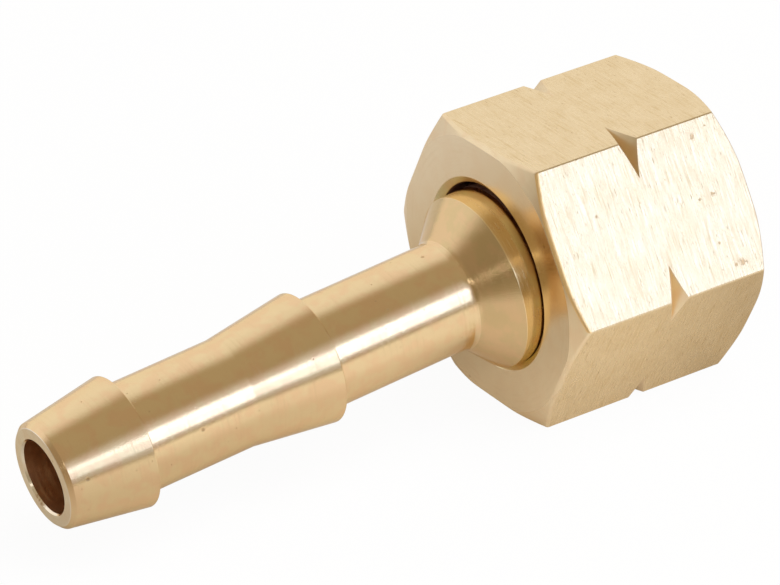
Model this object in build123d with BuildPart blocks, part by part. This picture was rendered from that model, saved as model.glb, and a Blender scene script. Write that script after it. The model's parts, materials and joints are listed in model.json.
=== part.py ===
"""Loose-nut hose tail: a turned brass tail with two barbs, held by its collar in a hexagon union nut.

The frame follows the nut. +X runs along the nut's axis from the hose end to the threaded mouth, +Z is
up, and the origin is the centre of the thread where it meets the chamfer of the mouth. The nut lies on
one flat. The tail is loose in the nut and hangs in its back hole: the neck rests on the hole's lower
edge, and the top of the collar bears on the back wall.
"""

import os
from math import cos, radians, sin, sqrt, tan

from build123d import *

# --- driving dimensions, in millimetres and degrees ------------------------------------------------

# thread of the nut: parallel pipe thread, left hand, 3/8 size
thread_major = 16.662
thread_depth = 0.856

# nut
nut_length = 15.5
flat_wall = 1.0  # metal between the relief and a flat
relief_depth = 0.169  # the relief behind the thread is turned this far below its root
back_wall = 4.5
mouth_chamfer = 0.9
nose_gap = 0.35  # from the end of the tail's nose to the start of the thread
face_margin = 0.13  # the turned end faces reach this far past the flats
end_chamfer_angle = 30.0  # from the end face
hole_clearance = 0.3  # neck in back hole, on the radius
hole_chamfer_width = 0.47
hole_chamfer_depth = 0.36
groove_position = 7.85  # from the hose-side face to the bottom of the left-hand mark
groove_margin = 0.5  # the mark's bottom lies this far outside the flats
groove_angle = 70.0

# tail, from the hose end on
stem_diameter = 7.5
stem_wall = 1.4
tip_reduction = 0.25  # tip below stem, on the radius
tip_round = 0.5
bore_edge_chamfer = 0.05
barb_height = 0.8
barb_edge_round = 0.12
barb_1_length = 6.0
plain_length = 8.1  # between the first barb's edge and the start of the second
barb_2_length = 6.1
stem_length = 10.9
cone_angle = 45.0  # from the axis
nut_play = 1.6  # how far the nut slides back along the neck
collar_clearance = 0.275  # collar in thread, on the radius, so that the nut goes on over it
collar_step = 1.25  # collar above neck, on the radius
collar_thickness = 2.0
collar_edge_chamfer = 0.2
nose_step = 0.3  # nose below collar, on the radius
nose_length = 2.2
nose_end_wall = 1.8  # metal round the bore at the end of the nose

# how the tail hangs in the nut
droop_angle = 4.9
touch_gap = 0.03

# --- sizes that follow -----------------------------------------------------------------------------

# nut
thread_radius = thread_major / 2 - thread_depth  # the wall through the crests of the thread
relief_radius = thread_major / 2 + relief_depth
flat_radius = relief_radius + flat_wall
corner_radius = flat_radius * 2 / sqrt(3)
end_face_radius = flat_radius + face_margin
end_chamfer_depth = (corner_radius - end_face_radius) * tan(radians(end_chamfer_angle))
groove_radius = flat_radius + groove_margin
groove_half_width = (corner_radius - groove_radius) * tan(radians(groove_angle / 2))
hose_face_x = mouth_chamfer - nut_length
groove_x = hose_face_x + groove_position
back_wall_x = hose_face_x + back_wall

# tail
stem_radius = stem_diameter / 2
bore_radius = stem_radius - stem_wall
tip_radius = stem_radius - tip_reduction
barb_radius = stem_radius + barb_height
collar_radius = thread_radius - collar_clearance
neck_radius = collar_radius - collar_step
hole_radius = neck_radius + hole_clearance
nose_start_radius = collar_radius - nose_step
nose_end_radius = bore_radius + nose_end_wall
# the nose is part of a ball with its centre on the tail's axis
ball_setback = (nose_start_radius**2 - nose_end_radius**2 - nose_length**2) / (2 * nose_length)
ball_radius = sqrt(ball_setback**2 + nose_start_radius**2)

# stations along the tail, from its tip
barb_1_edge = barb_1_length
barb_2_start = barb_1_edge + plain_length
barb_2_edge = barb_2_start + barb_2_length
cone_start = barb_2_edge + stem_length
neck_start = cone_start + (neck_radius - stem_radius) / tan(radians(cone_angle))
collar_start = neck_start + nut_play + back_wall
collar_end = collar_start + collar_thickness
tail_length = collar_end + nose_length

# The neck rests on the front of the hole, so its axis passes rest_drop below the nut's axis there. The
# collar leans with the tail, and its top stands just clear of the back wall.
droop = radians(droop_angle)
rest_x = hose_face_x + hole_chamfer_depth
rest_drop = hole_radius - neck_radius / cos(droop) - touch_gap
collar_x = back_wall_x + touch_gap + collar_radius * sin(droop)
tip_x = collar_x - collar_start * cos(droop)
tip_z = (tip_x - rest_x) * tan(droop) - rest_drop
tail_plane = Plane(origin=(tip_x, 0, tip_z), x_dir=(cos(droop), 0, sin(droop)), z_dir=(0, -1, 0))
tail_axis = Axis(tail_plane.origin, tail_plane.x_dir)

# the thread starts past the nose, and the relief reaches back from there to the back wall
nose_reach_x = tip_x + tail_length * cos(droop) + nose_end_radius * sin(droop)
thread_start_x = nose_reach_x + nose_gap

radius_tolerance = 1e-4


def rims(part, radius):
    """The circular edges of a part that have this radius."""
    circles = part.edges().filter_by(GeomType.CIRCLE)
    return circles.filter_by(lambda edge: abs(edge.radius - radius) < radius_tolerance)


os.makedirs("parts", exist_ok=True)

# --- tail: one turned piece, bored through ---------------------------------------------------------

with BuildPart() as hose_tail:
    with BuildSketch(tail_plane):
        with BuildLine():
            Polyline(
                (tail_length, bore_radius),
                (0, bore_radius),
                (0, tip_radius),
                (barb_1_edge, barb_radius),
                (barb_1_edge, stem_radius),
                (barb_2_start, stem_radius),
                (barb_2_edge, barb_radius),
                (barb_2_edge, stem_radius),
                (cone_start, stem_radius),
                (neck_start, neck_radius),
                (collar_start, neck_radius),
                (collar_start, collar_radius),
                (collar_end, collar_radius),
                (collar_end, nose_start_radius),
            )
            RadiusArc(
                (collar_end, nose_start_radius),
                (tail_length, nose_end_radius),
                ball_radius,
            )
            Line((tail_length, nose_end_radius), (tail_length, bore_radius))
        make_face()
    revolve(axis=tail_axis)
    fillet(rims(hose_tail, tip_radius), tip_round)
    fillet(rims(hose_tail, barb_radius), barb_edge_round)
    chamfer(rims(hose_tail, collar_radius), collar_edge_chamfer)
    chamfer(rims(hose_tail, bore_radius), bore_edge_chamfer)
hose_tail.part.label = "hose_tail"

# --- nut: hexagon bar, turned outside and inside ---------------------------------------------------

with BuildPart() as union_nut:
    # the bar lies on a flat
    with BuildSketch(Plane.YZ.offset(hose_face_x)):
        RegularPolygon(flat_radius, 6, major_radius=False)
    extrude(amount=nut_length)
    # chamfered ends, and the groove that marks a left-hand thread
    with BuildSketch(Plane.XZ):
        with BuildLine():
            Polyline(
                (hose_face_x, 0),
                (hose_face_x, end_face_radius),
                (hose_face_x + end_chamfer_depth, corner_radius),
                (groove_x - groove_half_width, corner_radius),
                (groove_x, groove_radius),
                (groove_x + groove_half_width, corner_radius),
                (mouth_chamfer - end_chamfer_depth, corner_radius),
                (mouth_chamfer, end_face_radius),
                (mouth_chamfer, 0),
                close=True,
            )
        make_face()
    revolve(axis=Axis.X, mode=Mode.INTERSECT)
    # back hole, relief and thread, which is cut to its crests
    with BuildSketch(Plane.XZ):
        with BuildLine():
            Polyline(
                (hose_face_x, 0),
                (hose_face_x, hole_radius + hole_chamfer_width),
                (rest_x, hole_radius),
                (back_wall_x, hole_radius),
                (back_wall_x, relief_radius),
                (thread_start_x, relief_radius),
                (thread_start_x, thread_radius),
                (0, thread_radius),
                (mouth_chamfer, thread_radius + mouth_chamfer),
                (mouth_chamfer, 0),
                close=True,
            )
        make_face()
    revolve(axis=Axis.X, mode=Mode.SUBTRACT)
union_nut.part.label = "union_nut"

for piece in (hose_tail, union_nut):
    export_step(piece.part, f"parts/{piece.part.label}.step")
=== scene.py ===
"""Looks of the loose-nut hose tail: a turned brass tail with two barbs, and its hexagon union nut.

Both pieces are skinned here round the packed model: the tail with every edge softly broken, and the nut
with its left-hand thread. All lengths are metres, in the frame of the packed model: +X runs along the
nut's axis towards its mouth, and +Z is up.
"""

import json
import math
from typing import NamedTuple

import bmesh
import bpy
import numpy as np
from bpy.props import FloatProperty, FloatVectorProperty, PointerProperty
from mathutils import Matrix, Vector


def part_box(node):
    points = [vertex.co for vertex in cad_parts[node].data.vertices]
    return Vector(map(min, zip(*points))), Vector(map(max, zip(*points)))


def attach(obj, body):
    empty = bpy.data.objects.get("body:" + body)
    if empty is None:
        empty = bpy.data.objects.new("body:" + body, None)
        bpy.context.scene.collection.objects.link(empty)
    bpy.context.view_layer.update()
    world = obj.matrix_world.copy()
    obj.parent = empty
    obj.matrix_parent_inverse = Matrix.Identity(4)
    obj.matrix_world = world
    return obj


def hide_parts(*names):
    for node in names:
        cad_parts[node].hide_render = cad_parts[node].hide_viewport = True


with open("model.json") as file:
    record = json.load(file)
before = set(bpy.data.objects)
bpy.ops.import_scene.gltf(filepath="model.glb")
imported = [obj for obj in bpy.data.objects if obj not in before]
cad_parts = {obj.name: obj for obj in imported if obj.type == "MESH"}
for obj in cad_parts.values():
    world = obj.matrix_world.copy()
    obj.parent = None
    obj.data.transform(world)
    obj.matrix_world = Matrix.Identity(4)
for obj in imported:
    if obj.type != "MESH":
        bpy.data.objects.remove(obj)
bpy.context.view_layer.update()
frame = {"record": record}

bl_info = {
    "name": "Loose-nut hose tail",
    "version": (1, 0, 0),
    "blender": (4, 5, 0),
    "location": "3D View > Sidebar > Hose tail",
    "description": "Builds a turned brass hose tail with its hexagon union nut, and a pale studio round it",
    "category": "Add Mesh",
}

MM = 0.001


def mount(name):
    """A mount of the packed record, by name."""
    return next(m for m in frame["record"]["mounts"] if m["name"] == name)


# --- sizes that the packed model gives ---

nut_low, nut_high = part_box("union_nut")
bore_mount = mount("gas_bore")
thread_mount = mount("thread")
tail_direction = -Vector(bore_mount["axis"])
NUT_AXIS = (Vector((0, 0, 0)), Vector((1, 0, 0)))  # a point and a direction


# --- sizes and colours that a user would change ---


def length(name, description, mm):
    """A length property, from its default in millimetres."""
    return FloatProperty(
        name=name, description=description, default=mm * MM, min=0.0, unit="LENGTH", subtype="DISTANCE"
    )


def angle(name, description, degrees):
    """An angle property, kept in radians."""
    return FloatProperty(
        name=name, description=description, default=math.radians(degrees), unit="ROTATION", subtype="ANGLE"
    )


def colour(name, description, rgb):
    """A linear colour property."""
    return FloatVectorProperty(
        name=name, description=description, default=rgb, size=3, min=0.0, max=1.0, subtype="COLOR"
    )


class TailSizes(bpy.types.PropertyGroup):
    """Sizes of the turned tail, from the hose end on."""

    bore_radius: length("Bore", "Radius of the gas bore", bore_mount["dims"]["r_mm"])
    stem_radius: length("Stem", "Radius of the plain stem", 3.75)
    tip_radius: length("Tip", "Radius of the hose end", 3.66)
    tip_round: length("Tip round", "Rounding at the hose end's outer chamfer", 0.12)
    tip_chamfer: length("Tip chamfer", "Chamfer of the hose end's outer edge", 0.3)
    mouth_chamfer: length("Bore's mouth", "Chamfer at the hose end of the bore", 0.16)
    bore_edge: length("Bore edge", "Growth of the bore's radius at both ends", 0.2)
    bore_edge_depth: length("Bore edge's depth", "Depth over which the bore widens at both ends", 4.0)
    barb_radius: length("Barb", "Radius of the barbs' edges", 4.55)
    barb_round: length("Barb round", "Rounding of the barbs' edges", 0.09)
    barb_1_edge: length("First barb's edge", "Distance from the tip", 6.0)
    barb_2_start: length("Second barb's start", "Distance from the tip", 14.1)
    barb_2_edge: length("Second barb's edge", "Distance from the tip", 20.2)
    cone_start: length("Cone's start", "Distance from the tip", 31.1)
    neck_start: length("Neck's start", "Distance from the tip", 33.3)
    cone_root: length("Cone's root", "Fillet where the stem meets the cone", 0.9)
    cone_radius: length("Cone's end", "Radius where the cone meets the neck", 6.03)
    neck_taper: length("Neck's taper", "Length over which the neck grows to its full radius", 1.9)
    neck_radius: length("Neck", "Radius of the neck that the nut turns on", 6.06)
    collar_start: length("Collar's start", "Distance from the tip", 39.4)
    collar_end: length("Collar's end", "Distance from the tip", 41.4)
    collar_radius: length("Collar", "Radius of the collar that holds the nut", 7.2)
    nose_start_radius: length("Nose's start", "Radius of the ball nose at the collar", 6.9)
    nose_end_radius: length("Nose's end", "Radius of the ball nose at its end", 4.15)
    tail_length: length("Length", "Length of the tail", 43.6)
    edge_round: length("Edge round", "Rounding of the other turned edges", 0.06)


class NutSizes(bpy.types.PropertyGroup):
    """Sizes of the hexagon nut."""

    flat_radius: length("Flats", "Distance of the flats from the axis", nut_high.z / MM)
    corner_round: length("Corner round", "Rounding along the six corners", 0.18)
    face_margin: length("Face margin", "How far the turned ends reach past the flats", 0.08)
    face_round: length("Face round", "Rounding where the end faces meet their chamfers", 0.04)
    back_round: length("Back round", "Rounding of the hose-side end", 0.3)
    back_angle: angle("Back chamfer", "Angle of the hose-side end's chamfer from its face", 25.0)
    front_round: length("Front round", "Rounding of the mouth-side end", 0.1)
    front_angle: angle("Front chamfer", "Angle of the mouth-side end's chamfer from its face", 32.0)
    end_blend: length("End blend", "How softly the chamfers run out on the flats", 0.15)
    hole_radius: length("Back hole", "Radius of the hole that the neck passes", 6.25)
    hole_chamfer_width: length("Hole chamfer width", "Width of the back hole's chamfer", 0.47)
    hole_chamfer_depth: length("Hole chamfer depth", "Depth of the back hole's chamfer", 0.36)
    back_wall: length("Back wall", "Thickness of the wall that bears on the collar", 4.5)
    relief_radius: length("Relief", "Radius of the relief behind the thread", 8.5)
    groove_x: length("Mark", "Distance of the left-hand mark from the hose-side face", 7.85)
    groove_radius: length("Mark's bottom", "Radius of the left-hand mark at its bottom", 10.0)
    groove_shift: length("Mark's shift", "How far the left-hand mark is cut off the axis", 0.09)
    groove_angle: angle("Mark's angle", "Angle between the two walls of the left-hand mark", 70.0)
    groove_round: length("Mark's edges", "Rounding of the left-hand mark's edges", 0.05)
    mouth_chamfer: length("Mouth chamfer", "Chamfer of the threaded mouth", 0.9)
    thread_pitch: length("Pitch", "Pitch of the left-hand pipe thread", 1.337)
    thread_depth: length("Thread depth", "Depth of the pipe thread", 0.856)


# --- mesh tools ---

ARC_STEPS = 5
MERGE_DISTANCE = 1e-7
TINY = 1e-30  # keeps a division by nothing away


def arc_points(centre, radius, start, end, steps=ARC_STEPS):
    """Points of an arc in a section's (along, out) plane, from one angle to another, in radians."""
    angles = [start + (end - start) * i / steps for i in range(steps + 1)]
    return [(centre[0] + radius * math.cos(a), centre[1] + radius * math.sin(a)) for a in angles]


def rounded(before, here, after, radius, limit=0.45):
    """The corner here as an arc that is tangent to its two runs, and takes at most limit of either."""
    here = Vector(here)
    run_in, run_out = Vector(before) - here, Vector(after) - here
    shorter = min(run_in.length, run_out.length)
    if shorter < MERGE_DISTANCE:
        return [tuple(here)] * (ARC_STEPS + 1)
    run_in.normalize()
    run_out.normalize()
    half = run_in.angle(run_out) / 2
    radius = min(radius, limit * shorter * math.tan(half))
    centre = here + (run_in + run_out).normalized() * (radius / math.sin(half))
    first = here + run_in * (radius / math.tan(half)) - centre
    last = here + run_out * (radius / math.tan(half)) - centre
    start, end = math.atan2(first.y, first.x), math.atan2(last.y, last.x)
    end = start + math.remainder(end - start, 2 * math.pi)
    return arc_points(centre, radius, start, end)


def skin(name, rings):
    """A closed mesh over rings of points, with the array's rows and columns both closing on themselves."""
    rows, columns = rings.shape[:2]
    index = np.arange(rows * columns).reshape(rows, columns)
    next_row, next_column = np.roll(index, -1, 0), np.roll(index, -1, 1)
    quads = np.stack([index, next_column, np.roll(next_row, -1, 1), next_row], -1).reshape(-1, 4)
    mesh = bpy.data.meshes.new(name)
    mesh.from_pydata(rings.reshape(-1, 3).tolist(), [], quads.tolist())
    shape = bmesh.new()
    shape.from_mesh(mesh)
    bmesh.ops.remove_doubles(shape, verts=shape.verts, dist=MERGE_DISTANCE)
    bmesh.ops.dissolve_degenerate(shape, edges=shape.edges, dist=MERGE_DISTANCE)
    bmesh.ops.recalc_face_normals(shape, faces=shape.faces)
    shape.to_mesh(mesh)
    shape.free()
    return mesh


def shade_by_area(mesh):
    """Smooth shading whose normals follow the wide faces, so that only the small rounds bend light."""
    corner_vertex = np.empty(len(mesh.loops), int)
    mesh.loops.foreach_get("vertex_index", corner_vertex)
    counts, areas = np.empty(len(mesh.polygons), int), np.empty(len(mesh.polygons))
    normals = np.empty(len(mesh.polygons) * 3)
    mesh.polygons.foreach_get("loop_total", counts)
    mesh.polygons.foreach_get("area", areas)
    mesh.polygons.foreach_get("normal", normals)
    weighted = normals.reshape(-1, 3) * areas[:, None]
    total = np.zeros((len(mesh.vertices), 3))
    np.add.at(total, corner_vertex, np.repeat(weighted, counts, 0))
    total /= np.maximum(np.linalg.norm(total, axis=1), TINY)[:, None]
    mesh.shade_smooth()
    mesh.normals_split_custom_set_from_vertices(total.tolist())


def place(name, mesh, body, node, slot):
    """The mesh as a piece that rides on its body and stands for its CAD node; slot is not used."""
    piece = bpy.data.objects.new(name, mesh)
    bpy.context.scene.collection.objects.link(piece)
    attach(piece, body)
    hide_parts(node)
    return piece


# --- tail ---

TAIL_SEGMENTS = 320
NOSE_STEPS = 12
MOUTH_SHARE = 0.6  # of the bore mouth's chamfer, by which its outer edge is wider


def tail_corners(size):
    """Corners of the tail's section as (along, out, round), from the nose end round by the bore."""
    nose_length = size.tail_length - size.collar_end
    rise = size.nose_start_radius**2 - size.nose_end_radius**2
    setback = (rise - nose_length**2) / (2 * nose_length)
    ball_radius = math.hypot(setback, size.nose_start_radius)
    edge, bore = size.edge_round, size.bore_radius
    fine = edge / 3
    mouth = bore + size.bore_edge
    corners = [
        (size.tail_length, mouth, fine),
        (size.tail_length - size.bore_edge_depth, bore, fine),
        (size.bore_edge_depth, bore, fine),
        (size.mouth_chamfer, mouth, fine),
        (0.0, mouth + MOUTH_SHARE * size.mouth_chamfer, fine),
        (0.0, size.tip_radius - size.tip_chamfer, size.tip_round),
        (size.tip_chamfer, size.tip_radius, size.tip_round),
        (size.barb_1_edge, size.barb_radius, size.barb_round),
        (size.barb_1_edge, size.stem_radius, edge),
        (size.barb_2_start, size.stem_radius, edge),
        (size.barb_2_edge, size.barb_radius, size.barb_round),
        (size.barb_2_edge, size.stem_radius, edge),
        (size.cone_start, size.stem_radius, size.cone_root),
        (size.neck_start, size.cone_radius, 1.5 * edge),
        (size.neck_start + size.neck_taper, size.neck_radius, 4 * edge),
        (size.collar_start, size.neck_radius, edge),
        (size.collar_start, size.collar_radius, 2 * edge),
        (size.collar_end, size.collar_radius, 2 * edge),
        (size.collar_end, size.nose_start_radius, edge),
    ]
    for step in range(1, NOSE_STEPS):
        along = nose_length * step / NOSE_STEPS
        corners.append((size.collar_end + along, math.sqrt(ball_radius**2 - (setback + along) ** 2), 0.0))
    corners.append((size.tail_length, size.nose_end_radius, edge))
    return corners


def section(corners):
    """The closed section through these corners, with an arc at each that has a round."""
    points = []
    for i, (along, out, radius) in enumerate(corners):
        if radius:
            before, after = corners[i - 1][:2], corners[(i + 1) % len(corners)][:2]
            points += rounded(before, (along, out), after, radius)
        else:
            points.append((along, out))
    return np.array(points)


def tail_origin(size):
    """The centre of the tail's tip, from the middle of the bore."""
    return Vector(bore_mount["pos_m"]) - tail_direction * (size.tail_length / 2)


def lathe(points, origin, direction, segments):
    """Rings of points: the section turned about an axis that lies in the XZ plane."""
    turn = np.linspace(0, 2 * math.pi, segments, endpoint=False)
    axis, side = np.array(direction), np.array((0.0, -1.0, 0.0))
    up = np.cross(axis, side)
    spokes = np.cos(turn)[:, None] * side + np.sin(turn)[:, None] * up
    return np.array(origin) + points[:, 0, None, None] * axis + points[:, 1, None, None] * spokes[None]


TAIL_FINISHES = ("turned_tail", "turned_cone", "turned_neck", "drilled_bore", "neck_in_nut", "cut_end")
DRILLED_SHARE = 0.97  # of the bore's widening, up to which the surface looks drilled
CUT_SHARE = 0.3  # of the tip's chamfer, up to which the surface looks cut off
HIDDEN_SHARE = 1.1  # of the neck's taper, from which the nut hides the neck
SEAM_MARGIN = 0.1 * MM  # by which a finish reaches past an inner corner


def tail_finish(size, _, along, out):
    """The finish of a face of the tail, by its distance from the tip and from the axis."""
    if out < size.bore_radius + DRILLED_SHARE * size.bore_edge:
        return "drilled_bore"
    if along < CUT_SHARE * size.tip_chamfer:
        return "cut_end"
    if size.neck_start + HIDDEN_SHARE * size.neck_taper < along < size.collar_start + SEAM_MARGIN:
        return "neck_in_nut"
    if size.neck_start < along < size.collar_start:
        return "turned_neck"
    if size.cone_start < along < size.neck_start:
        return "turned_cone"
    return "turned_tail"


class HOSETAIL_OT_add_tail(bpy.types.Operator):
    """Add the turned tail: hose end, two barbs, cone, neck, collar and ball nose, bored through"""

    bl_idname = "hosetail.add_tail"
    bl_label = "Add tail"

    def execute(self, context):
        size = context.scene.hosetail_tail
        axis = (tail_origin(size), tail_direction)
        mesh = skin("hose_tail_turned", lathe(section(tail_corners(size)), *axis, TAIL_SEGMENTS))
        shade_by_area(mesh)
        add_finishes(mesh, context.scene.hosetail_finish, TAIL_FINISHES, tail_finish, size, axis)
        place("hose_tail_turned", mesh, "tail", "hose_tail", "tail_brass")
        return {"FINISHED"}


# --- nut ---

FLAT_COLUMNS = 42
CORNER_COLUMNS = 6
THREAD_ROWS = 116
SIDES = 6
HALF_SIDE = math.pi / SIDES
MARK_SIDE = math.radians(100)  # round the nut's axis, where the left-hand mark is deepest
THREAD_HALF_ANGLE = math.radians(27.5)
THREAD_ROUND_SHARE = 0.137329  # of the pitch
MARK_MARGIN = 1.0 * MM  # on each side of the mark, along which its edges may be rounded


def hexagon(size):
    """Angle and radius of points round the bar, with more of them on its rounded corners."""
    straight = math.atan((1 - size.corner_round / size.flat_radius) * math.tan(HALF_SIDE))
    centre = (size.flat_radius - size.corner_round) / math.cos(HALF_SIDE)
    outline = []
    for side in range(SIDES):
        middle = math.pi / 2 + side * 2 * HALF_SIDE
        for a in np.linspace(-straight, straight, FLAT_COLUMNS):
            outline.append((middle + a, size.flat_radius / math.cos(a)))
        for step in range(1, CORNER_COLUMNS):
            turn = HALF_SIDE * (2 * step / CORNER_COLUMNS - 1)
            along = centre + size.corner_round * math.cos(turn)
            across = size.corner_round * math.sin(turn)
            outline.append((middle + HALF_SIDE + math.atan2(across, along), math.hypot(along, across)))
    return outline


def chamfered_end(size, face_x, inward, reach, ball, slant):
    """Points from an end face over its chamfer to a flat that is reach from the axis there."""
    half = math.tan(slant / 2)
    apart = reach - ball - (size.flat_radius + size.face_margin - ball * half)
    run = (apart + math.hypot(apart, size.end_blend)) / 2
    face_reach = reach - ball - run + ball * half
    low = (size.face_round, face_reach - size.face_round * half)
    high = (ball + run * math.tan(slant), reach - ball)
    turned = math.pi - slant
    points = arc_points(low, size.face_round, math.pi, turned) + arc_points(high, ball, turned, math.pi / 2)
    return [(face_x + inward * x, r) for x, r in points]


def mark(size, reach, turn):
    """Points of the left-hand mark's V at an angle round the bar, whose flats reach that far there."""
    bottom_reach = size.groove_radius - size.groove_shift * math.cos(turn - MARK_SIDE)
    middle, depth = nut_low.x + size.groove_x, max(reach - bottom_reach, 0.0)
    half = depth * math.tan(size.groove_angle / 2)
    left, right, bottom = (middle - half, reach), (middle + half, reach), (middle, reach - depth)
    if depth == 0.0:
        return [bottom] * (3 * (ARC_STEPS + 1))
    before, after = (left[0] - MARK_MARGIN, reach), (right[0] + MARK_MARGIN, reach)
    points = rounded(before, left, bottom, size.groove_round)
    points += rounded(left, bottom, right, size.groove_round / 2)
    return points + rounded(bottom, right, after, size.groove_round)


def thread_wall(size, x, turn):
    """Radius of the left-hand thread's rounded wall at x, at an angle round the axis."""
    pitch, half = size.thread_pitch, size.thread_pitch / 2
    crest = thread_mount["dims"]["r_mm"] * MM
    root = crest + size.thread_depth
    tip = THREAD_ROUND_SHARE * pitch
    phase = np.mod(x + pitch * turn / (2 * math.pi), pitch)
    off_root = np.minimum(phase, pitch - phase)
    flank = (crest + root) / 2 + (half / 2 - off_root) / math.tan(THREAD_HALF_ANGLE)
    tangent = tip * math.cos(THREAD_HALF_ANGLE)
    root_arc = root - tip + np.sqrt(np.maximum(tip**2 - off_root**2, 0))
    crest_arc = crest + tip - np.sqrt(np.maximum(tip**2 - (half - off_root) ** 2, 0))
    wall = np.where(off_root < tangent, root_arc, flank)
    return np.where(half - off_root < tangent, crest_arc, wall)


def nut_sections(size):
    """The nut's section at each column round the bar, as an array of (row, column, point)."""
    columns = hexagon(size)
    face_x, mouth_x = nut_low.x, nut_high.x
    relief_x = face_x + size.back_wall
    thread_start_x = -thread_mount["dims"]["length_mm"] * MM
    hole, edge = size.hole_radius, size.front_round
    hole_mouth = hole + size.hole_chamfer_width
    hole_edge_x = face_x + size.hole_chamfer_depth
    crest = thread_mount["dims"]["r_mm"] * MM
    thread_x = np.linspace(mouth_x, thread_start_x, THREAD_ROWS)
    sections = []
    for turn, reach in columns:
        outer = rounded((relief_x, hole), (hole_edge_x, hole), (face_x, hole_mouth), edge)
        outer += rounded((hole_edge_x, hole), (face_x, hole_mouth), (face_x, size.flat_radius), edge)
        outer += chamfered_end(size, face_x, 1, reach, size.back_round, size.back_angle)
        outer += mark(size, reach, turn)
        outer += chamfered_end(size, mouth_x, -1, reach, size.front_round, size.front_angle)[::-1]
        chamfer = crest + size.mouth_chamfer - (mouth_x - thread_x)
        run_out = size.relief_radius - (thread_x - thread_start_x)
        wall = np.maximum(thread_wall(size, thread_x, turn), np.maximum(chamfer, run_out))
        inner = list(zip(thread_x, wall))
        wall_foot = (relief_x, size.relief_radius)
        inner += rounded((thread_start_x, size.relief_radius), wall_foot, (relief_x, hole), 2 * edge)
        inner += rounded(wall_foot, (relief_x, hole), (hole_edge_x, hole), edge)
        sections.append(outer + inner)
    return columns, np.array(sections).transpose(1, 0, 2)


NUT_FINISHES = (
    "turned_nut",
    "drawn_flats",
    "cut_thread",
    "back_hole",
    "chamfered_ends",
    "painted_glint_edge",
    "hole_rim",
)
FRONT_FLAT = (-0.866, 0.5)  # where the flat with the painted golden glint on its edge faces, in Y and Z
FRONT_SHARE = 0.9  # of a face's outward lean, from which it belongs to that flat
FLAT_SHARE = 0.99  # of the flats' distance, beyond which a level face is one of them
FLAT_LEAN = 0.06  # how far along the axis a level face may lean
GLINT_LEAN, RIM_LEAN = 0.9, 0.85  # how far along the axis these finishes may lean
RIM_DEPTH = 1 * MM  # from the hose-side end
HOLE_MARGIN = 0.02 * MM


def towards_front(normal):
    """Whether a face looks out from the front flat, between its two corners."""
    across = math.hypot(normal.y, normal.z)
    return normal.z * FRONT_FLAT[1] + normal.y * FRONT_FLAT[0] > FRONT_SHARE * across


def nut_finish(size, normal, along, out):
    """The finish of a face of the nut, by the way it faces and its place along and out from the axis."""
    near_end, wall_x = along < nut_low.x + RIM_DEPTH, nut_low.x + size.back_wall
    if abs(normal.x) < FLAT_LEAN and out > FLAT_SHARE * size.flat_radius:
        return "drawn_flats"
    if FLAT_LEAN < -normal.x < GLINT_LEAN and near_end and towards_front(normal):
        return "painted_glint_edge"
    if abs(normal.x) < RIM_LEAN and out < size.hole_radius + size.hole_chamfer_width and near_end:
        return "hole_rim"
    if out > size.flat_radius:
        return "chamfered_ends"
    if out < size.hole_radius + HOLE_MARGIN and along < wall_x:
        return "back_hole"
    if out < size.relief_radius + SEAM_MARGIN and along > wall_x - SEAM_MARGIN:
        return "cut_thread"
    return "turned_nut"


class HOSETAIL_OT_add_nut(bpy.types.Operator):
    """Add the hexagon nut: chamfered ends, left-hand mark, back hole, relief and left-hand thread"""

    bl_idname = "hosetail.add_nut"
    bl_label = "Add nut"

    def execute(self, context):
        size = context.scene.hosetail_nut
        columns, sections = nut_sections(size)
        turn = np.array([a for a, _ in columns])[None]
        along, out = sections[..., 0], sections[..., 1]
        rings = np.stack([along, out * np.cos(turn), out * np.sin(turn)], -1)
        mesh = skin("union_nut_hexagon", rings)
        shade_by_area(mesh)
        add_finishes(mesh, context.scene.hosetail_finish, NUT_FINISHES, nut_finish, size, NUT_AXIS)
        place("union_nut_hexagon", mesh, "nut", "union_nut", "nut_brass")
        return {"FINISHED"}


# --- node tools ---


def node(tree, kind, inputs=(), **settings):
    """A new node with these settings. Inputs maps a socket's name or number to a value or to a socket."""
    made = tree.nodes.new(kind)
    for name, value in settings.items():
        setattr(made, name, value)
    for key, value in dict(inputs).items():
        if isinstance(value, bpy.types.NodeSocket):
            tree.links.new(value, made.inputs[key])
        else:
            made.inputs[key].default_value = value
    return made


def maths(tree, operation, *values):
    """The result of a Math node."""
    return node(tree, "ShaderNodeMath", enumerate(values), operation=operation).outputs[0]


def vector_maths(tree, operation, *values):
    """The result of a Vector Math node, which is a number for the operations that measure."""
    made = node(tree, "ShaderNodeVectorMath", enumerate(values), operation=operation)
    return made.outputs["Value" if operation in ("DOT_PRODUCT", "DISTANCE", "LENGTH") else "Vector"]


def scaled(tree, vector, scale):
    """A vector or a tone times a number."""
    return node(tree, "ShaderNodeVectorMath", {0: vector, "Scale": scale}, operation="SCALE").outputs[0]


def summed(tree, start, *terms):
    """Start plus each (mask, amount)."""
    total = start
    for mask, amount in terms:
        total = maths(tree, "ADD", maths(tree, "MULTIPLY", mask, amount), total)
    return total


def fade(tree, value, start, end, low=0.0, high=1.0):
    """A smooth step from low at start to high at end."""
    inputs = {"Value": value, "From Min": start, "From Max": end, "To Min": low, "To Max": high}
    return node(tree, "ShaderNodeMapRange", inputs, interpolation_type="SMOOTHSTEP").outputs["Result"]


def noise(tree, place, scale, detail, on_line=False):
    """Smooth noise from 0 to 1, at a place that is a vector, or a number on a line."""
    socket, dimensions = ("W", "1D") if on_line else ("Vector", "3D")
    inputs = {socket: place, "Scale": scale, "Detail": detail}
    return node(tree, "ShaderNodeTexNoise", inputs, noise_dimensions=dimensions).outputs["Fac"]


def opaque(tone):
    """A tone as a colour socket's value."""
    return (*tone, 1.0)


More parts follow.
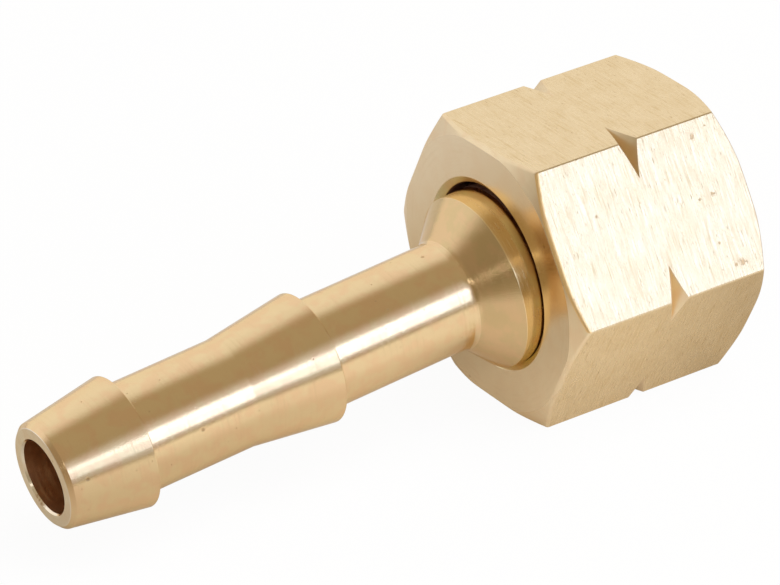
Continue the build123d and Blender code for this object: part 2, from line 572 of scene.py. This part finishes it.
def mix_colours(tree, factor, first, second, blend="MIX"):
    """The result of mixing two colours."""
    inputs = {0: factor, 6: first, 7: second}
    return node(tree, "ShaderNodeMix", inputs, data_type="RGBA", blend_type=blend).outputs[2]


def tinted(tree, base, *layers):
    """The base colour with each (mask, amount, tone) laid over it in turn."""
    for mask, amount, tone in layers:
        base = mix_colours(tree, maths(tree, "MULTIPLY", mask, amount), base, opaque(tone))
    return base


def group(name, vectors, numbers, outputs):
    """A new shader node group, its inputs and outputs. Numbers gives its float inputs' defaults."""
    tree = bpy.data.node_groups.new(name, "ShaderNodeTree")
    for socket in vectors:
        tree.interface.new_socket(socket, in_out="INPUT", socket_type="NodeSocketVector")
    for socket, default in numbers.items():
        made = tree.interface.new_socket(socket, in_out="INPUT", socket_type="NodeSocketFloat")
        made.default_value = default
    for socket in outputs:
        tree.interface.new_socket(socket, in_out="OUTPUT", socket_type="NodeSocketFloat")
    return tree, tree.nodes.new("NodeGroupInput").outputs, tree.nodes.new("NodeGroupOutput").inputs


def use(tree, name, **inputs):
    """The outputs of a node group placed in a tree, with its inputs named in lower case."""
    named = {key.capitalize(): value for key, value in inputs.items()}
    return node(tree, "ShaderNodeGroup", named, node_tree=bpy.data.node_groups[name]).outputs


# --- shared effects ---

PATCH_SCALE = 700.0  # per metre, of the patches where the lathe tool rubbed
PATCH_FADE = (0.35, 0.62)
RING_WANDER = 1.5  # rings, by which the patches push the tool's marks aside
RUB_RINGS = (0.7, 40.0)  # broad rings to each fine one, and how many rings they are shifted
RUB_FADE = (0.42, 0.68)
PIT_FADE = (1.0, 0.4)  # of a pit's reach, from its rim to its full depth
STREAK_KINDS = (  # output, share of the streaks' vector, detail and the noise at which they fade in
    ("Groove", (1.0, 1.0, 1.0), 2.0, (0.3, 0.7)),
    ("Streak", (0.7, 0.7, 0.7), 3.0, (0.54, 0.68)),
    ("Scratch", (0.8, 2.2, 2.2), 1.0, (0.68, 0.78)),
)
SPOT_SCALE = 7000.0  # per metre, of a spot's ragged edge
SPOT_RAGGED = 2.4  # radii, by which the edge wanders
SPOT_FADE = (2.3, 1.2)
DRIFT_FADE = (0.4, 0.62)


def make_turning_marks():
    """Fine rings that a lathe tool leaves: their height, and where the tool rubbed and dulled the metal."""
    numbers = {"Run": 0.0, "Spacing": 0.15 * MM}
    tree, given, out = group("turning_marks", ["Vector"], numbers, ["Height", "Rub"])
    patches = noise(tree, given["Vector"], PATCH_SCALE, 3.0)
    turns = maths(tree, "DIVIDE", given["Run"], given["Spacing"])
    turns = maths(tree, "ADD", turns, maths(tree, "MULTIPLY", patches, RING_WANDER))
    broad = maths(tree, "ADD", maths(tree, "MULTIPLY", turns, RUB_RINGS[0]), RUB_RINGS[1])
    patch = fade(tree, patches, *PATCH_FADE)
    rubbed, fine = noise(tree, broad, 1.0, 2.0, on_line=True), noise(tree, turns, 1.0, 3.0, on_line=True)
    rub = maths(tree, "MULTIPLY", fade(tree, rubbed, *RUB_FADE), patch)
    height = maths(tree, "MULTIPLY", fine, maths(tree, "ADD", patch, 0.5))
    tree.links.new(height, out["Height"])
    tree.links.new(rub, out["Rub"])


def make_scattered_pits():
    """Small pits and specks scattered over a surface: where they are, and their depth."""
    numbers = {"Spacing": 0.6 * MM, "Share": 0.3, "Width": 0.12}
    tree, given, out = group("scattered_pits", ["Vector"], numbers, ["Mask"])
    scale = maths(tree, "DIVIDE", 1.0, given["Spacing"])
    cells = node(tree, "ShaderNodeTexVoronoi", {"Vector": given["Vector"], "Scale": scale})
    pick = node(tree, "ShaderNodeSeparateColor", {"Color": cells.outputs["Color"]})
    chosen = maths(tree, "LESS_THAN", pick.outputs["Red"], given["Share"])
    reach = maths(tree, "MULTIPLY", given["Width"], maths(tree, "ADD", pick.outputs["Green"], 0.3))
    near = maths(tree, "DIVIDE", cells.outputs["Distance"], reach)
    tree.links.new(maths(tree, "MULTIPLY", fade(tree, near, *PIT_FADE), chosen), out["Mask"])


def make_cross_streaks():
    """Marks that run round the bar, across its length: fine grooves, broad streaks and short scratches."""
    numbers = {"Width": 0.06 * MM, "Length": 1.5 * MM}
    tree, given, out = group("cross_streaks", ["Vector"], numbers, ["Groove", "Streak", "Scratch"])
    across = maths(tree, "DIVIDE", 1.0, given["Width"])
    along = maths(tree, "DIVIDE", 1.0, given["Length"])
    stretch = node(tree, "ShaderNodeCombineXYZ", {"X": across, "Y": along, "Z": along}).outputs[0]
    vector = vector_maths(tree, "MULTIPLY", given["Vector"], stretch)
    for name, share, detail, edge in STREAK_KINDS:
        marks = noise(tree, vector_maths(tree, "MULTIPLY", vector, share), 1.0, detail)
        tree.links.new(fade(tree, marks, *edge), out[name])


def make_spot():
    """One soft-edged spot at a place on the surface."""
    tree, given, out = group("spot", ["Vector", "Place"], {"Radius": 0.15 * MM}, ["Mask"])
    away = vector_maths(tree, "DISTANCE", given["Vector"], given["Place"])
    ragged = maths(tree, "MULTIPLY", noise(tree, given["Vector"], SPOT_SCALE, 2.0), SPOT_RAGGED)
    ratio = maths(tree, "ADD", maths(tree, "DIVIDE", away, given["Radius"]), ragged)
    tree.links.new(fade(tree, ratio, *SPOT_FADE), out["Mask"])


def make_tone_drift():
    """Slow drift of the metal's tone over a surface."""
    tree, given, out = group("tone_drift", ["Vector"], {"Spacing": 4.0 * MM}, ["Tone"])
    slow = noise(tree, given["Vector"], maths(tree, "DIVIDE", 1.0, given["Spacing"]), 3.0)
    tree.links.new(fade(tree, slow, *DRIFT_FADE), out["Tone"])


# --- materials ---

EDGE_TINT = (0.95, 0.86, 0.7, 1.0)  # brass at a grazing angle
TIP_SHADE_SPOTS = (  # painted shade spots at the tail's tip and where the stem meets the cone: place in millimetres and radius
    ((-48.58, 1.35, -5.15), 0.4),
    ((-48.53, 0.85, -5.5), 0.42),
    ((-17.89, -2.17, 2.64), 0.16),
)
NICKS = (  # place in millimetres and radius of the bigger knocks on the nut
    ((-1.96, -6.05, 8.52), 0.22),
    ((-1.88, -8.03, 5.10), 0.18),
    ((-2.96, -8.07, 5.02), 0.11),
    ((-10.73, -7.46, 6.07), 0.12),
    ((-1.34, -10.46, 0.88), 0.3),
    ((-1.85, -10.48, 0.84), 0.15),
    ((-2.55, -9.62, 2.34), 0.1),
    ((-0.8, -5.82, 8.91), 0.1),
)


class TurnedLook(NamedTuple):
    """How a turned surface looks."""

    colour: str  # by its name in BrassFinish
    roughness: float
    spacing: float  # of the tool's rings, in millimetres
    mark_height: float  # of the tool's rings, in millimetres
    pit_share: float
    rosy_share: float = 0.4
    # places and radii of spots of painted shade
    shade_spots: tuple = ()
    shade_band: tuple = ()  # millimetres along the section, between which the tone darkens into painted shade


TURNED_LOOKS = {
    "turned_tail": TurnedLook("brass", 0.08, 0.11, 0.0021, 0.3, 0.5, shade_spots=TIP_SHADE_SPOTS),
    "turned_cone": TurnedLook("cone", 0.1, 0.13, 0.0028, 0.2),
    # the neck darkens with painted shade towards the nut's hole
    "turned_neck": TurnedLook("neck", 0.14, 0.13, 0.002, 0.2, 0.15, shade_band=(40.25, 41.0)),
    "drilled_bore": TurnedLook("bore", 0.34, 0.25, 0.003, 0.3),
    "cut_end": TurnedLook("cut", 0.16, 0.12, 0.0005, 0.2, 0.2, shade_spots=TIP_SHADE_SPOTS),
    "turned_nut": TurnedLook("flat", 0.2, 0.16, 0.0001, 0.15, 0.1),
    "cut_thread": TurnedLook("brass", 0.24, 0.1, 0.001, 0.2),
    "chamfered_ends": TurnedLook("flat", 0.3, 0.16, 0.0002, 0.2, 0.2),
    # the front flat's edge round carries a painted golden glint
    "painted_glint_edge": TurnedLook("edge", 0.35, 0.2, 0.003, 0.4, 0.1),
    "hole_rim": TurnedLook("rim", 0.3, 0.1, 0.001, 0.2),
}
SPECKS = {"spacing": 1.7 * MM, "share": 0.5, "width": 0.09}
TURNED_DRIFT = 1.2 * MM
TURNED_GRAIN_SCALE = 15000.0  # per metre
GRAIN_SHARE = 1.9  # of the rings' height
FULL_MARKS = 0.0016 * MM  # height of the rings that dulls the metal fully
# the last two are shares of painted shade
RUB_TINT, PIT_TINT, SPECK_TINT, SHADE_SPOT_TINT, SHADE_BAND_TINT = 0.12, 0.5, 0.6, 0.8, 0.9
RUB_DULLING, PIT_DULLING, DRIFT_DULLING = 0.14, 0.2, 0.03
PIT_DEPTH, SPECK_DEPTH = 0.003 * MM, 0.006 * MM

FLATS_ROUGHNESS = 0.24
FLATS_PITS = {"spacing": 0.5 * MM, "share": 0.4, "width": 0.11}
FLATS_DRIFT = 1.6 * MM
FLATS_GRAIN_SCALE = 9000.0  # per metre
FLATS_GRAIN_FADE = (0.4, 0.75)
STREAK_DRIFT = (0.5, 0.95)  # strength of the streaks where the tone has not drifted, and where it has
FLATS_MARKS = (  # mark, tone, its share, and what it adds to the roughness and to the height in millimetres
    ("Drift", "flat_worn", 0.14, 0, 0),
    ("Groove", "flat_worn", 0.2, 0.08, 0.005),
    ("Grain", "flat_worn", 0.25, 0, -0.002),
    ("Streak", "flat_worn", 0.6, 0.06, 0),
    ("Scratch", "speck_and_tip_shade", 0.6, 0, -0.004),
    ("Pit", "speck_and_tip_shade", 0.5, 0, -0.004),
    ("Knock", "knock_and_neck_shade", 0.85, 0, -0.012),
)

# the gap's brass is darkened with painted shade
HIDDEN_ROUGHNESS, HIDDEN_METAL, HIDDEN_DRIFT = 0.5, 0.3, 1.0 * MM


def start_brass(name, roughness, metallic=1.0):
    """A brass material with its tree, shader and object coordinates."""
    material = bpy.data.materials.new(name)
    material.use_nodes = True
    tree = material.node_tree
    shader = tree.nodes["Principled BSDF"]
    shader.inputs["Metallic"].default_value = metallic
    shader.inputs["Roughness"].default_value = roughness
    shader.inputs["Specular Tint"].default_value = EDGE_TINT
    return material, tree, shader, node(tree, "ShaderNodeTexCoord").outputs["Object"]


def turned_run(tree, point, axis):
    """Distance along a turned surface's section: along its axis plus out from it."""
    offset = vector_maths(tree, "SUBTRACT", point, tuple(axis[0]))
    direction = tuple(axis[1])
    along = vector_maths(tree, "DOT_PRODUCT", offset, direction)
    out = vector_maths(tree, "DISTANCE", offset, scaled(tree, direction, along))
    return maths(tree, "ADD", along, out)


def bump(tree, shader, height):
    """Height, in metres, as the shader's normal."""
    bumped = node(tree, "ShaderNodeBump", {"Height": height, "Distance": 1.0, "Strength": 1.0})
    tree.links.new(bumped.outputs["Normal"], shader.inputs["Normal"])


def spot(tree, coordinates, place_mm, radius_mm):
    """Mask of a soft-edged spot, with its place and radius in millimetres."""
    centre = tuple(v * MM for v in place_mm)
    return use(tree, "spot", vector=coordinates, place=centre, radius=radius_mm * MM)["Mask"]


def turned_brass(name, finish, axis):
    """Brass turned on a lathe round this axis, given as a point and a direction."""
    look = TURNED_LOOKS[name]
    mark_height = look.mark_height * MM
    material, tree, shader, coordinates = start_brass(name, look.roughness)
    run = turned_run(tree, coordinates, axis)
    marks = use(tree, "turning_marks", run=run, spacing=look.spacing * MM, vector=coordinates)
    pits = use(tree, "scattered_pits", vector=coordinates, share=look.pit_share)["Mask"]
    specks = use(tree, "scattered_pits", vector=coordinates, **SPECKS)["Mask"]
    drift = use(tree, "tone_drift", vector=coordinates, spacing=TURNED_DRIFT)["Tone"]
    grain = noise(tree, coordinates, TURNED_GRAIN_SCALE, 1.0)
    base = tinted(
        tree,
        opaque(getattr(finish, look.colour)),
        (drift, look.rosy_share, finish.rosy),
        (marks["Rub"], RUB_TINT, finish.brass_worn),
        (pits, PIT_TINT, finish.speck_and_tip_shade),
        (specks, SPECK_TINT, finish.speck_and_tip_shade),
        # spots of painted shade, in the tone of the specks
        *((spot(tree, coordinates, *shade_spot), SHADE_SPOT_TINT, finish.speck_and_tip_shade) for shade_spot in look.shade_spots),
    )
    # painted shade, darkening the tone towards the nut's hole
    if look.shade_band:
        shade_band_mask = fade(tree, run, *(v * MM for v in look.shade_band))
        base = tinted(tree, base, (shade_band_mask, SHADE_BAND_TINT, finish.knock_and_neck_shade))
    tree.links.new(base, shader.inputs["Base Color"])
    dulling = RUB_DULLING * min(1.0, mark_height / FULL_MARKS)
    rough = summed(
        tree, look.roughness, (marks["Rub"], dulling), (pits, PIT_DULLING), (drift, DRIFT_DULLING)
    )
    tree.links.new(rough, shader.inputs["Roughness"])
    height = summed(
        tree,
        0.0,
        (marks["Height"], mark_height),
        (pits, -PIT_DEPTH),
        (specks, -SPECK_DEPTH),
        (grain, GRAIN_SHARE * mark_height),
    )
    bump(tree, shader, height)
    return material


def drawn_brass(name, finish):
    """Brass of the bar's flats, with grooves across its length, scratches, specks and knocks."""
    material, tree, shader, coordinates = start_brass(name, FLATS_ROUGHNESS)
    marks = use(tree, "cross_streaks", vector=coordinates)
    drift = use(tree, "tone_drift", vector=coordinates, spacing=FLATS_DRIFT)["Tone"]
    knocks = 0.0
    for nick in NICKS:
        knocks = maths(tree, "MAXIMUM", knocks, spot(tree, coordinates, *nick))
    masks = {
        "Drift": drift,
        "Groove": marks["Groove"],
        "Grain": fade(tree, noise(tree, coordinates, FLATS_GRAIN_SCALE, 1.0), *FLATS_GRAIN_FADE),
        "Streak": marks["Streak"],
        "Scratch": marks["Scratch"],
        "Pit": use(tree, "scattered_pits", vector=coordinates, **FLATS_PITS)["Mask"],
        "Knock": knocks,
    }
    streaks = maths(tree, "MULTIPLY", marks["Streak"], fade(tree, drift, 0.0, 1.0, *STREAK_DRIFT))
    base, rough, height = opaque(finish.flat), FLATS_ROUGHNESS, 0.0
    for mark_name, tone, share, dulling, mark_height in FLATS_MARKS:
        mask = masks[mark_name]
        tint_mask = streaks if mark_name == "Streak" else mask
        base = tinted(tree, base, (tint_mask, share, getattr(finish, tone)))
        rough = summed(tree, rough, (mask, dulling)) if dulling else rough
        height = summed(tree, height, (mask, mark_height * MM)) if mark_height else height
    tree.links.new(base, shader.inputs["Base Color"])
    tree.links.new(rough, shader.inputs["Roughness"])
    bump(tree, shader, height)
    return material


def shaded_gap_brass(name, finish):
    """Dull brass of the narrow gap between the neck and the nut, darkened with painted shade."""
    material, tree, shader, coordinates = start_brass(name, HIDDEN_ROUGHNESS, HIDDEN_METAL)
    drift = use(tree, "tone_drift", vector=coordinates, spacing=HIDDEN_DRIFT)["Tone"]
    base = mix_colours(tree, drift, opaque(finish.gap), opaque(finish.gap_dark_shade))
    tree.links.new(base, shader.inputs["Base Color"])
    return material


def add_finishes(mesh, finish, names, pick, size, axis):
    """Materials with these names on a mesh. Pick names the one of each face; turned ones run round axis."""
    for name in names:
        if name in TURNED_LOOKS:
            material = turned_brass(name, finish, axis)
        elif name == "drawn_flats":
            material = drawn_brass(name, finish)
        else:
            material = shaded_gap_brass(name, finish)
        mesh.materials.append(material)
    origin, direction = axis
    for face in mesh.polygons:
        offset = face.center - origin
        along = offset.dot(direction)
        out = (offset - direction * along).length
        face.material_index = names.index(pick(size, face.normal, along, out))


class BrassFinish(bpy.types.PropertyGroup):
    """Colours of the brass."""

    brass: colour("Brass", "Clean turned brass", (0.82, 0.62, 0.355))
    brass_worn: colour("Handled brass", "Brass dulled by handling", (0.73, 0.54, 0.295))
    flat: colour("Flats", "Drawn brass of the nut's flats", (0.86, 0.69, 0.45))
    flat_worn: colour("Handled flats", "The flats' brass in grooves and streaks", (0.69, 0.5, 0.255))
    rosy: colour("Rosy brass", "Copper-rich patches and streaks", (0.83, 0.53, 0.31))
    # darker than the tail's brass: painted shade for the cone's dimmer reflections
    cone: colour("Cone", "Brass of the cone", (0.69, 0.505, 0.265))
    neck: colour("Neck", "Brass of the neck beside the nut", (0.84, 0.66, 0.37))
    cut: colour("Cut end", "Pale brass of the hose end's face", (0.95, 0.85, 0.69))
    rim: colour("Hole rim", "Greenish brass of the back hole's chamfer", (0.8, 0.71, 0.42))
    bore: colour("Bore", "Drilled brass inside the bore", (0.66, 0.4, 0.22))
    # the golden tone of this round is a painted glint
    edge: colour("Worn edges", "Brass of the round at the front flat's hose-side edge", (0.97, 0.68, 0.33))
    # also the tone of the painted shade on the neck by the nut's hole
    knock_and_neck_shade: colour("Knocks", "Brass bared by knocks", (0.6, 0.37, 0.17))
    # also the tone of the spots of painted shade at the tail's tip
    speck_and_tip_shade: colour("Specks", "Pits and specks", (0.42, 0.25, 0.11))
    # the gap's two tones are painted shade between the neck and the nut
    gap: colour("Gap", "Dull brass between the neck and the nut", (0.36, 0.2, 0.16))
    gap_dark_shade: colour("Gap's stains", "Stains between the neck and the nut", (0.2, 0.1, 0.09))


# --- stage ---


class LightPanel(NamedTuple):
    """A light panel, in degrees; an edge is a pair of tangents, dark and full, from the middle."""

    azimuth: float  # 0 is -Y and 90 is +X
    elevation: float
    lean: float  # turned about the direction to it
    left: tuple
    right: tuple
    bottom: tuple
    top: tuple


class FloorPatch(NamedTuple):
    """A soft ellipse on the floor, in millimetres; it is full and ends at these shares of its size."""

    place: tuple
    size: tuple
    end: float
    full: float


CAMERA_PLACE = (-185.42 * MM, -265.62 * MM, 169.67 * MM)
CAMERA_RIGHT = (0.83621, -0.54608, -0.05049)
CAMERA_UP = (0.29749, 0.37433, 0.87828)
CAMERA_LENS = 250.8  # millimetres, on a sensor 36 mm wide
CAMERA_CLIP = (0.01, 20.0)  # metres
LAMP_PLACE = (0.25, -0.43, 0.87)  # metres
LAMP_SIZE = 0.9
FLOOR_HALF = 3.0  # metres
WHITE = (1.0, 1.0, 1.0, 1.0)
POOL = FloorPatch((10, -45), (88, 150), 1.1, 0.3)  # of light under the softbox
SHADE = FloorPatch((12, -2), (16, 18), 1.25, 0.5)  # past the nut's mouth
CONTACT_SHADES = (  # warm painted shade and painted bounce light of the brass on the floor
    FloorPatch((-3, -7), (18, 14), 1.05, 0.2),
    FloorPatch((-30, -7), (22, 14), 1.05, 0.2),
)
REAR_SIDE = (0.3, 1.0, 0.0)
REAR_FADE = (-4 * MM, 5 * MM)  # towards the rear side, where the painted shade of the floor behind takes over
FAR_FADE = (11 * MM, 26 * MM)
SOFTBOX = LightPanel(30, 18.5, -6, (-1.05, -0.05), (0.6, -0.15), (-0.225, -0.18), (0.225, 0.165))
WALL_GLOW = LightPanel(30, 18.5, -6, (-1.6, -0.5), (1.2, 0.8), (0.0, 0.1), (0.62, 0.1))
SOFTBOX_GAP = LightPanel(30, 0.0, 0, (-1.6, -0.2), (1.6, 0.3), (-0.3, -0.2), (0.25, 0.1))
SIDE_STRIP = LightPanel(-50.5, 26, 35, (-0.48, -0.42), (0.48, 0.42), (-0.055, -0.03), (0.055, 0.03))
ROOM_RISE = (0.2, 1.0, 0.75, 0.97)  # heights of a direction, and the room's levels there
BACKDROP_SIDE = (0.12, 0.99, 0.0)
BACKDROP_FADE = (0.1, 0.52)
BACKDROP_RISE = (0.92, 0.62, 0.84, 1.0)  # heights of a direction, and the backdrop's levels there
PANEL_FRONT = 0.01  # least share of a direction that has to point at a panel


def level(name, description, default):
    """A brightness property, in which 1 is white."""
    return FloatProperty(name=name, description=description, default=default, min=0.0, subtype="FACTOR")


class StudioLight(bpy.types.PropertyGroup):
    """Tones and levels of the studio."""

    backdrop: colour("Backdrop", "White backdrop behind the part", (1.0, 1.0, 1.0))
    room: colour("Room", "Warm dim room overhead and at the sides", (0.48, 0.41, 0.295))
    key: colour("Softbox tone", "Tone of the front softbox", (0.53, 0.67, 1.0))
    key_level: level("Softbox", "Brightness of the front softbox", 2.65)
    glow_level: level("Glow", "Brightness of the wall above the softbox", 0.95)
    gap_level: level("Gap", "Brightness below the softbox", 0.5)
    side_level: level("Side strip", "Brightness of the left strip", 1.15)
    floor_dim: colour("Dim floor", "Tone of the mirrored floor outside the pool of light", (0.45, 0.4, 0.31))
    # painted shade on the floor behind the part and past the nut's mouth
    floor_rear_shade: colour("Floor behind", "Tone of the mirrored floor behind the part", (0.66, 0.63, 0.6))
    # painted dim cool light of the floor far behind
    floor_far: colour("Floor far behind", "Tone of the mirrored floor far behind", (0.82, 0.86, 0.98))
    # warm painted shade and bounce light under the brass
    floor_contact_shade: colour("Warm floor", "Tone of the mirrored floor under the brass", (0.88, 0.86, 0.82))
    floor_seen: level("White floor", "Own white of the floor in view", 0.95)
    floor_mirrored: level("Mirrored floor", "Own white of the floor in mirror rays", 0.3)
    floor_lamp: FloatProperty(
        name="Floor lamp", description="Power of the lamp over the floor", default=6.8, min=0.0, unit="POWER"
    )


def panel_mask(tree, direction, panel):
    """Mask of the directions that point at a light panel."""
    turn, rise = math.radians(panel.azimuth), math.radians(panel.elevation)
    towards = Vector((math.sin(turn) * math.cos(rise), -math.cos(turn) * math.cos(rise), math.sin(rise)))
    lean = Matrix.Rotation(math.radians(panel.lean), 3, towards)
    across = lean @ Vector((math.cos(turn), math.sin(turn), 0.0))
    upward = towards.cross(across)
    front = vector_maths(tree, "DOT_PRODUCT", direction, tuple(towards))
    depth = maths(tree, "MAXIMUM", front, PANEL_FRONT)
    mask = maths(tree, "GREATER_THAN", front, PANEL_FRONT)
    for side, edges in ((across, (panel.left, panel.right)), (upward, (panel.bottom, panel.top))):
        offset = maths(tree, "DIVIDE", vector_maths(tree, "DOT_PRODUCT", direction, tuple(side)), depth)
        for edge in edges:
            mask = maths(tree, "MULTIPLY", mask, fade(tree, offset, *edge))
    return mask


def ray_kinds(tree):
    """Whether a ray comes from the camera, and whether it comes from a mirror or through glass."""
    ray = node(tree, "ShaderNodeLightPath").outputs
    return ray["Is Camera Ray"], maths(tree, "MAXIMUM", ray["Is Glossy Ray"], ray["Is Transmission Ray"])


def make_world(light):
    """A studio as a world: dim warm room, white backdrop behind, softbox in front, strip at the left."""
    world = bpy.data.worlds.new("studio")
    world.use_nodes = True
    tree = world.node_tree
    direction = node(tree, "ShaderNodeTexCoord").outputs["Generated"]
    height = node(tree, "ShaderNodeSeparateXYZ", {0: direction}).outputs["Z"]
    room = scaled(tree, tuple(light.room), fade(tree, height, *ROOM_RISE))
    behind = vector_maths(tree, "DOT_PRODUCT", direction, BACKDROP_SIDE)
    front_level = summed(
        tree,
        0.0,
        (panel_mask(tree, direction, SOFTBOX), light.key_level),
        (panel_mask(tree, direction, WALL_GLOW), light.glow_level),
        (panel_mask(tree, direction, SOFTBOX_GAP), light.gap_level),
    )
    side_level = maths(tree, "MULTIPLY", panel_mask(tree, direction, SIDE_STRIP), light.side_level)
    total = vector_maths(tree, "ADD", room, scaled(tree, tuple(light.key), front_level))
    total = vector_maths(tree, "ADD", total, scaled(tree, WHITE[:3], side_level))
    in_view, mirrored = ray_kinds(tree)
    backdrop_top = fade(tree, height, *BACKDROP_RISE)
    backdrop = maths(tree, "MULTIPLY", fade(tree, behind, *BACKDROP_FADE), backdrop_top)
    white = maths(tree, "MAXIMUM", in_view, maths(tree, "MULTIPLY", backdrop, mirrored))
    seen = mix_colours(tree, white, total, opaque(light.backdrop))
    tree.links.new(seen, tree.nodes["Background"].inputs["Color"])
    return world


def floor_patch(tree, place_on_floor, patch):
    """Mask of a soft ellipse on the floor."""
    centre, size = (*(v * MM for v in patch.place), nut_low.z), (*(v * MM for v in patch.size), 1.0)
    offset = vector_maths(tree, "SUBTRACT", place_on_floor, centre)
    offset = vector_maths(tree, "DIVIDE", offset, size)
    return fade(tree, vector_maths(tree, "LENGTH", offset), patch.end, patch.full)


def floor_material(light):
    """A white floor that keeps a soft shadow; mirror rays see painted light and shade on it: brighter inside
    the softbox's pool, painted shade behind the part and past the nut's mouth, painted cool light far behind
    and warm painted shade under the brass.
    """
    material = bpy.data.materials.new("pale_floor")
    material.use_nodes = True
    tree = material.node_tree
    tree.nodes.remove(tree.nodes["Principled BSDF"])
    place_on_floor = node(tree, "ShaderNodeTexCoord").outputs["Object"]
    tone = mix_colours(tree, floor_patch(tree, place_on_floor, POOL), opaque(light.floor_dim), WHITE)
    # mirror rays see painted shade behind the part and painted cool light far behind it
    rear = vector_maths(tree, "DOT_PRODUCT", place_on_floor, REAR_SIDE)
    far = fade(tree, rear, *FAR_FADE)
    behind = mix_colours(tree, far, opaque(light.floor_rear_shade), opaque(light.floor_far))
    tone = mix_colours(tree, fade(tree, rear, *REAR_FADE), tone, behind)
    tone = mix_colours(tree, floor_patch(tree, place_on_floor, SHADE), tone, opaque(light.floor_rear_shade))
    # warm painted shade under the brass
    for patch in CONTACT_SHADES:
        contact_shade = floor_patch(tree, place_on_floor, patch)
        warm = mix_colours(tree, contact_shade, WHITE, opaque(light.floor_contact_shade))
        tone = mix_colours(tree, 1.0, tone, warm, blend="MULTIPLY")
    in_view, mirrored = ray_kinds(tree)
    tone = mix_colours(tree, mirrored, WHITE, tone)
    paint = node(tree, "ShaderNodeBsdfDiffuse", {"Color": tone}).outputs[0]
    glow = node(tree, "ShaderNodeEmission", {"Color": tone, "Strength": 1.0}).outputs[0]
    share = summed(tree, 0.0, (in_view, light.floor_seen), (mirrored, light.floor_mirrored))
    mixed = node(tree, "ShaderNodeMixShader", {0: share, 1: paint, 2: glow}).outputs[0]
    tree.links.new(mixed, tree.nodes["Material Output"].inputs["Surface"])
    return material


def add_camera(scene):
    """The camera, as the scene's own."""
    right, up = Vector(CAMERA_RIGHT), Vector(CAMERA_UP)
    camera = bpy.data.objects.new("camera", bpy.data.cameras.new("camera"))
    camera.data.lens = CAMERA_LENS
    camera.data.clip_start, camera.data.clip_end = CAMERA_CLIP
    rotation = Matrix((right, up, right.cross(up))).transposed().to_4x4()
    camera.matrix_world = Matrix.Translation(CAMERA_PLACE) @ rotation
    scene.collection.objects.link(camera)
    scene.camera = camera


def add_floor(scene):
    """The floor under the nut."""
    signs = ((-1, -1), (1, -1), (1, 1), (-1, 1))
    corners = [(x * FLOOR_HALF, y * FLOOR_HALF, nut_low.z) for x, y in signs]
    mesh = bpy.data.meshes.new("floor")
    mesh.from_pydata(corners, [], [(0, 1, 2, 3)])
    mesh.materials.append(floor_material(scene.hosetail_light))
    floor = bpy.data.objects.new("floor", mesh)
    scene.collection.objects.link(floor)


def add_lamp(scene):
    """The lamp over the floor, which faces the part and is not mirrored in it."""
    lamp = bpy.data.lights.new("floor_lamp", "AREA")
    lamp.energy, lamp.size = scene.hosetail_light.floor_lamp, LAMP_SIZE
    hung = bpy.data.objects.new("floor_lamp", lamp)
    hung.location = LAMP_PLACE
    hung.rotation_euler = Vector(LAMP_PLACE).to_track_quat("Z", "Y").to_euler()
    hung.visible_glossy = False
    scene.collection.objects.link(hung)


class HOSETAIL_OT_add_stage(bpy.types.Operator):
    """Add the pale floor, the studio light and the camera"""

    bl_idname = "hosetail.add_stage"
    bl_label = "Add stage"

    def execute(self, context):
        scene = context.scene
        add_camera(scene)
        add_floor(scene)
        add_lamp(scene)
        scene.world = make_world(scene.hosetail_light)
        scene.view_settings.view_transform = "Standard"
        return {"FINISHED"}


GROUPS = {
    "hosetail_tail": TailSizes,
    "hosetail_nut": NutSizes,
    "hosetail_finish": BrassFinish,
    "hosetail_light": StudioLight,
}
STEPS = (HOSETAIL_OT_add_tail, HOSETAIL_OT_add_nut, HOSETAIL_OT_add_stage)


class HOSETAIL_PT_panel(bpy.types.Panel):
    """Lists the sizes and colours, and the buttons that build the pieces"""

    bl_label = "Hose tail"
    bl_idname = "HOSETAIL_PT_panel"
    bl_space_type = "VIEW_3D"
    bl_region_type = "UI"
    bl_category = "Hose tail"

    def draw(self, context):
        for step in STEPS:
            self.layout.operator(step.bl_idname)
        for name, cls in GROUPS.items():
            box = self.layout.box()
            box.label(text=cls.__doc__)
            for prop in cls.__annotations__:
                box.prop(getattr(context.scene, name), prop)


CLASSES = (*GROUPS.values(), *STEPS, HOSETAIL_PT_panel)


def register():
    """Register the classes and keep their sizes and colours on the scene."""
    for cls in CLASSES:
        bpy.utils.register_class(cls)
    for name, cls in GROUPS.items():
        setattr(bpy.types.Scene, name, PointerProperty(type=cls))


def unregister():
    """Take the classes and their settings off again."""
    for name in GROUPS:
        delattr(bpy.types.Scene, name)
    for cls in reversed(CLASSES):
        bpy.utils.unregister_class(cls)


def main():
    """Build the part and the stage."""
    register()
    make_turning_marks()
    make_scattered_pits()
    make_cross_streaks()
    make_spot()
    make_tone_drift()
    bpy.ops.hosetail.add_tail()
    bpy.ops.hosetail.add_nut()
    bpy.ops.hosetail.add_stage()


if __name__ == "__main__":
    main()
